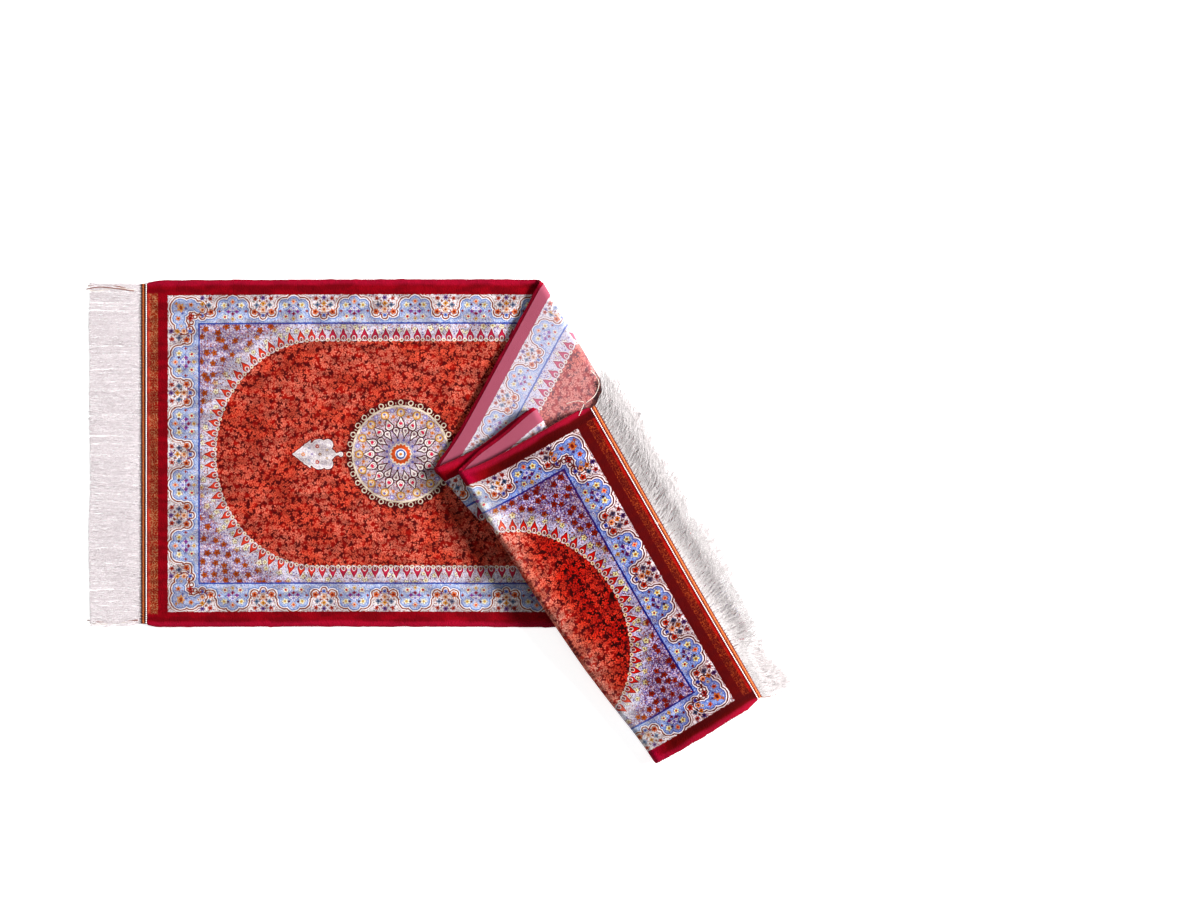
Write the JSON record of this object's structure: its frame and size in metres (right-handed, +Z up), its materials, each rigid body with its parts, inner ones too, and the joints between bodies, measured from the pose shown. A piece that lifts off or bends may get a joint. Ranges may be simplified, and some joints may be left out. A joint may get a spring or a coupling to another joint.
{
  "type": "folded runner rug",
  "caption": "Fringed pile runner rug, folded back and forth on itself at a slant and lying flat on a surface.",
  "frame": {"origin": "middle of the underside of the whole folded rug's box, on the surface that it lies on", "axes": "+X along the first layer, from the left fringe to the folds; +Y across it, towards its free long edge; +Z up"},
  "size_m": [1.024, 0.7054, 0.0462],
  "materials": {
    "pile": "silky cut pile with a woven back",
    "braid": "matte stitched yarn",
    "fringe": "matte cotton yarn"
  },
  "bodies": {
    "root": {"rug_pile": "pile", "braid_left": "braid", "braid_right": "braid", "fringe_left": "fringe", "fringe_right": "fringe"}
  },
  "joints": []
}
